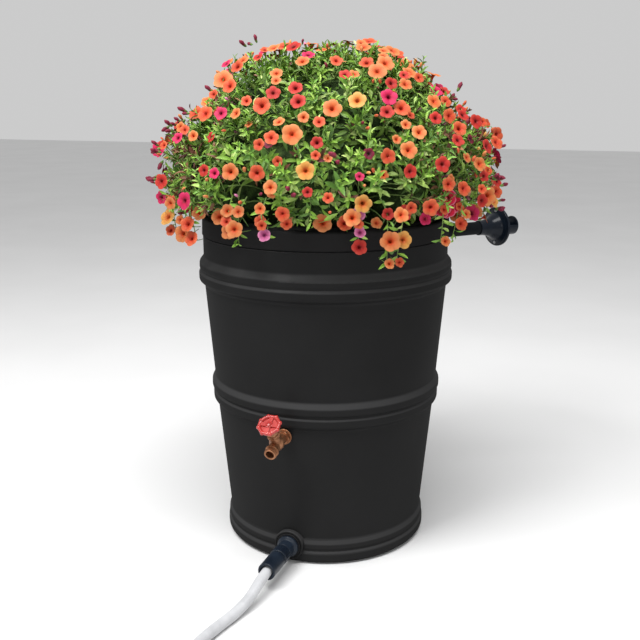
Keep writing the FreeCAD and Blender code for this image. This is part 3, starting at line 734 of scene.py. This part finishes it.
for deg, r, z, kind, mm in FRONT:
    az = math.radians(deg)
    n = outward(az, z / 1000)
    at = polar(deg, r, z) + n * (0.006 if z > 815 else 0.016)
    if kind == "K":
        side = np.array([-math.sin(az), math.cos(az), 0.0])
        for off, up, w in ((-0.019, 0.002, 0.050), (0.020, 0.008, 0.048), (0.002, -0.004, 0.044), (0.004, 0.020, 0.040)):
            add_flower(at + side * off + np.array([0, 0, up + 0.004]), n, kind, w, 0.6)
        continue
    width = max(mm * 1.05, 20) / 1000
    if kind == "D" and mm < 30:
        for _ in range(3):
            bud(piles["buds"], at + rng.normal(0, 0.008, 3), n + rng.normal(0, 0.5, 3), rng.uniform(0.018, 0.026), "D")
        placed.append(at)
        continue
    add_flower(at, n, kind, width, 0.55 + 0.9 * (1.0 - max(0.0, float(np.dot(n, TOWARDS)))) * (r > 250))

KINDS, SHARE = ["P", "C", "R", "Y", "M", "D", "V", "K"], [0.36, 0.27, 0.14, 0.09, 0.05, 0.04, 0.03, 0.02]
tries, more = 0, 0
while more < 165 and tries < 6000:
    tries += 1
    az = rng.uniform(0, 2 * math.pi)
    p, n = on_outline(az, rng.uniform(0.02, 1.0))
    deg = turned_deg(az)
    if -152 < deg < -8 and math.hypot(p[0], p[1]) > 0.12:
        continue
    if p[2] < 0.835:
        continue
    at = CENTRE + (p - CENTRE) * rng.uniform(0.99, 1.025)
    if placed and min(np.linalg.norm(at - q) for q in placed) < 0.031:
        continue
    kind = KINDS[rng.choice(len(KINDS), p=SHARE)]
    width = rng.uniform(0.026, 0.038) if kind not in "KM" else rng.uniform(0.036, 0.046)
    add_flower(at, n, kind, width)
    more += 1

# small ones half hidden among the leaves, all round
for i in range(150):
    az = rng.uniform(0, 2 * math.pi)
    p, n = on_outline(az, rng.uniform(0.05, 1.0))
    if p[2] < low_edge(turned_deg(az)) + 0.01:
        continue
    at = CENTRE + (p - CENTRE) * rng.uniform(0.95, 0.99)
    if min(np.linalg.norm(at - q) for q in placed) < 0.024:
        continue
    kind = KINDS[rng.choice(len(KINDS), p=[0.36, 0.36, 0.14, 0.04, 0.03, 0.05, 0.0, 0.02])]
    add_flower(at, n, "M" if kind == "K" else kind, rng.uniform(0.018, 0.027))

# flowers on the trailing stems behind
for trail in TRAILS[12:]:
    deg, r, z = trail[-1]
    for dz, dd in ((0, 0), (26, 4), (44, -4)):
        kind = KINDS[rng.choice(4)]
        n = outward(math.radians(deg + dd), 0.82)
        add_flower(polar(deg + dd, r + 8, z + dz), n, kind, rng.uniform(0.028, 0.036))

# buds all over
for i in range(190):
    az = rng.uniform(0, 2 * math.pi)
    p, n = on_outline(az, rng.uniform(0, 1))
    if p[2] < 0.84:
        continue
    at = CENTRE + (p - CENTRE) * rng.uniform(0.98, 1.03)
    if (np.linalg.norm(KEEP_AT - at, axis=1) < KEEP_R + 0.010).any():
        continue
    kind = ["P", "C", "V", "D", "Y"][rng.choice(5, p=[0.34, 0.26, 0.14, 0.14, 0.12])]
    bud(piles["buds"], at, n + np.array([0, 0, 0.5]) + rng.normal(0, 0.4, 3), rng.uniform(0.012, 0.020), kind)

parts = []
for i, pile in enumerate(leaves):
    parts.append(pile.make("leaves_%d" % (i + 1), M["leaf"]))
parts.append(stems.make("plant_stems", M["stem"]))
for name, pile in piles.items():
    parts.append(pile.make(name, M["petal"]))

# ------------------------------------------------------------------ the dense middle of the planting, a mass of leaves painted nearly black-green as shade
rows, cols = 54, 120
v = []
for i in range(rows + 1):
    s = i / rows
    for k in range(cols):
        az = 2 * math.pi * k / cols
        if i == 0:
            p = np.array([0.235 * math.cos(az), 0.235 * math.sin(az), 0.792])
            q = p
        else:
            p, _ = on_outline(az, s * 0.995)
            q = CENTRE + (p - CENTRE) * 0.80
            gap = max(0.0, 1.0 - abs(turned_deg(az) + 96.0) / 16.0) + max(0.0, 1.0 - abs(turned_deg(az) + 47.0) / 14.0)
            back = gap * min(1.0, max(0.0, (0.945 - q[2]) / 0.07))
            q[:2] *= 1.0 - 0.50 * min(1.0, back * 1.6)
            d = Vector(q.tolist())
            q = CENTRE + (q - CENTRE) * (1 + 0.050 * noise.noise(d * 26) + 0.035 * noise.noise(d * 60))
            q[2] = max(q[2], 0.818 + 0.010 * noise.noise(d * 40))
        v.append(q)
f = []
for i in range(rows):
    for k in range(cols):
        a, b = i * cols + k, i * cols + (k + 1) % cols
        f.append((a, b, b + cols, a + cols))
f.append(tuple(range(cols - 1, -1, -1)))
f.append(tuple(range(rows * cols, (rows + 1) * cols)))
parts.append(mesh_object("plant_middle_painted_shade", v, f, M["core"]))
for o in parts:
    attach(o, "planter")
    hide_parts("flower_mound")

# ------------------------------------------------------------------ potting soil
lo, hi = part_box("potting_soil")
R = hi.x - 0.0008
rows, cols = 70, 220
v = [(0.0, 0.0, 0.790)]
for i in range(1, rows + 1):
    r = R * i / rows
    for k in range(cols):
        a = 2 * math.pi * k / cols
        x, y = r * math.cos(a), r * math.sin(a)
        q = Vector((x, y, 0.0))
        edge = max(0.0, (r / R - 0.93) / 0.07)
        h = 0.787 - 0.004 * (r / R) ** 2 + 0.0045 * noise.noise(q * 34) + 0.0032 * noise.noise(q * 95) + 0.0022 * noise.noise(q * 240)
        v.append((x, y, h - 0.004 * edge))
f = [(0, 1 + k, 1 + (k + 1) % cols) for k in range(cols)]
for i in range(rows - 1):
    for k in range(cols):
        a, b = 1 + i * cols + k, 1 + i * cols + (k + 1) % cols
        f.append((a, a + cols, b + cols, b))
last = 1 + (rows - 1) * cols
base = len(v)
for k in range(cols):
    a = 2 * math.pi * k / cols
    v.append(((R - 0.012) * math.cos(a), (R - 0.012) * math.sin(a), 0.745))
for k in range(cols):
    f.append((last + k, base + k, base + (k + 1) % cols, last + (k + 1) % cols))
f.append(tuple(range(base + cols - 1, base - 1, -1)))
soil = mesh_object("soil_bed", v, f, M["soil"])
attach(soil, "planter")
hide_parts("potting_soil")


# ------------------------------------------------------------------ threads on the two hose ends
def thread(name, start, axis, length, inner, outer, pitch, mat):
    axis = unit(np.array(axis, float))
    b = basis(axis, np.array([1.0, 0.0, 0.0]))
    turns = length / pitch
    steps = int(turns * 40)
    v, f = [], []
    for i in range(steps + 1):
        a = 2 * math.pi * i / 40
        fade = min(1.0, i / 14, (steps - i) / 14)
        c = np.array(start) + axis * (pitch * i / 40)
        radial = b[:, 0] * math.cos(a) + b[:, 2] * math.sin(a)
        crest = inner + (outer - inner) * fade
        v += [c + radial * (inner - 0.0006) - axis * pitch * 0.36, c + radial * crest - axis * pitch * 0.10,
              c + radial * crest + axis * pitch * 0.10, c + radial * (inner - 0.0006) + axis * pitch * 0.36]
    for i in range(steps):
        for k in range(4):
            p, q = i * 4 + k, i * 4 + (k + 1) % 4
            f.append((p, p + 4, q + 4, q))
    f.append((3, 2, 1, 0))
    f.append(tuple(steps * 4 + k for k in range(4)))
    o = mesh_object(name, v, f, mat, smooth=False)
    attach(o, "barrel")
    return o


mounts = {m["name"]: m for m in frame["record"]["mounts"]}
for name, label in (("tap_outlet", "tap_outlet_thread"), ("hose_end_thread", "hose_end_thread")):
    m = mounts[name]
    along = unit(np.array(m["axis"], float))
    half = m["dims"]["length_mm"] / 2000
    thread(label, np.array(m["pos_m"]) - along * (half - 0.0013), along, 2 * half - 0.0025, 0.0134, 0.0140, 0.0022, M["bronze"])

# ------------------------------------------------------------------ floor and light
bpy.ops.mesh.primitive_plane_add(size=30.0, location=(0.0, 2.0, 0.0))
floor = bpy.context.object
floor.name = "floor"
fm, ft, fb = material("pale_floor")
fn = noise_node(ft, 1.5, 2.0)
fr = ramp_node(ft, fn.outputs["Fac"], [(0.3, (0.72, 0.72, 0.72)), (0.7, (0.75, 0.75, 0.75))])
ft.links.new(fr.outputs["Color"], fb.inputs["Base Color"])
fb.inputs["Roughness"].default_value = 0.9
floor.data.materials.append(fm)

world = bpy.data.worlds.new("studio")
scene.world = world
world.use_nodes = True
world.node_tree.nodes["Background"].inputs["Color"].default_value = (1.0, 1.0, 1.0, 1.0)
world.node_tree.nodes["Background"].inputs["Strength"].default_value = 0.60


def area(name, at, target, size, power):
    d = bpy.data.lights.new(name, "AREA")
    d.shape = "RECTANGLE"
    d.size, d.size_y = size
    d.energy = power
    o = bpy.data.objects.new(name, d)
    scene.collection.objects.link(o)
    o.location = at
    o.rotation_mode = "QUATERNION"
    o.rotation_quaternion = (Vector(target) - Vector(at)).to_track_quat("-Z", "Y")
    return o


area("key", (-0.9, -1.9, 3.4), (0, 0, 0.7), (1.5, 1.0), 95.0)
area("front", (1.2, -3.4, 1.5), (0, 0, 0.7), (1.2, 1.2), 14.0)
area("top", (0.5, -1.0, 3.8), (0, 0, 0.8), (2.0, 1.4), 105.0)
scene.view_settings.view_transform = "Standard"
scene.view_settings.look = "None"
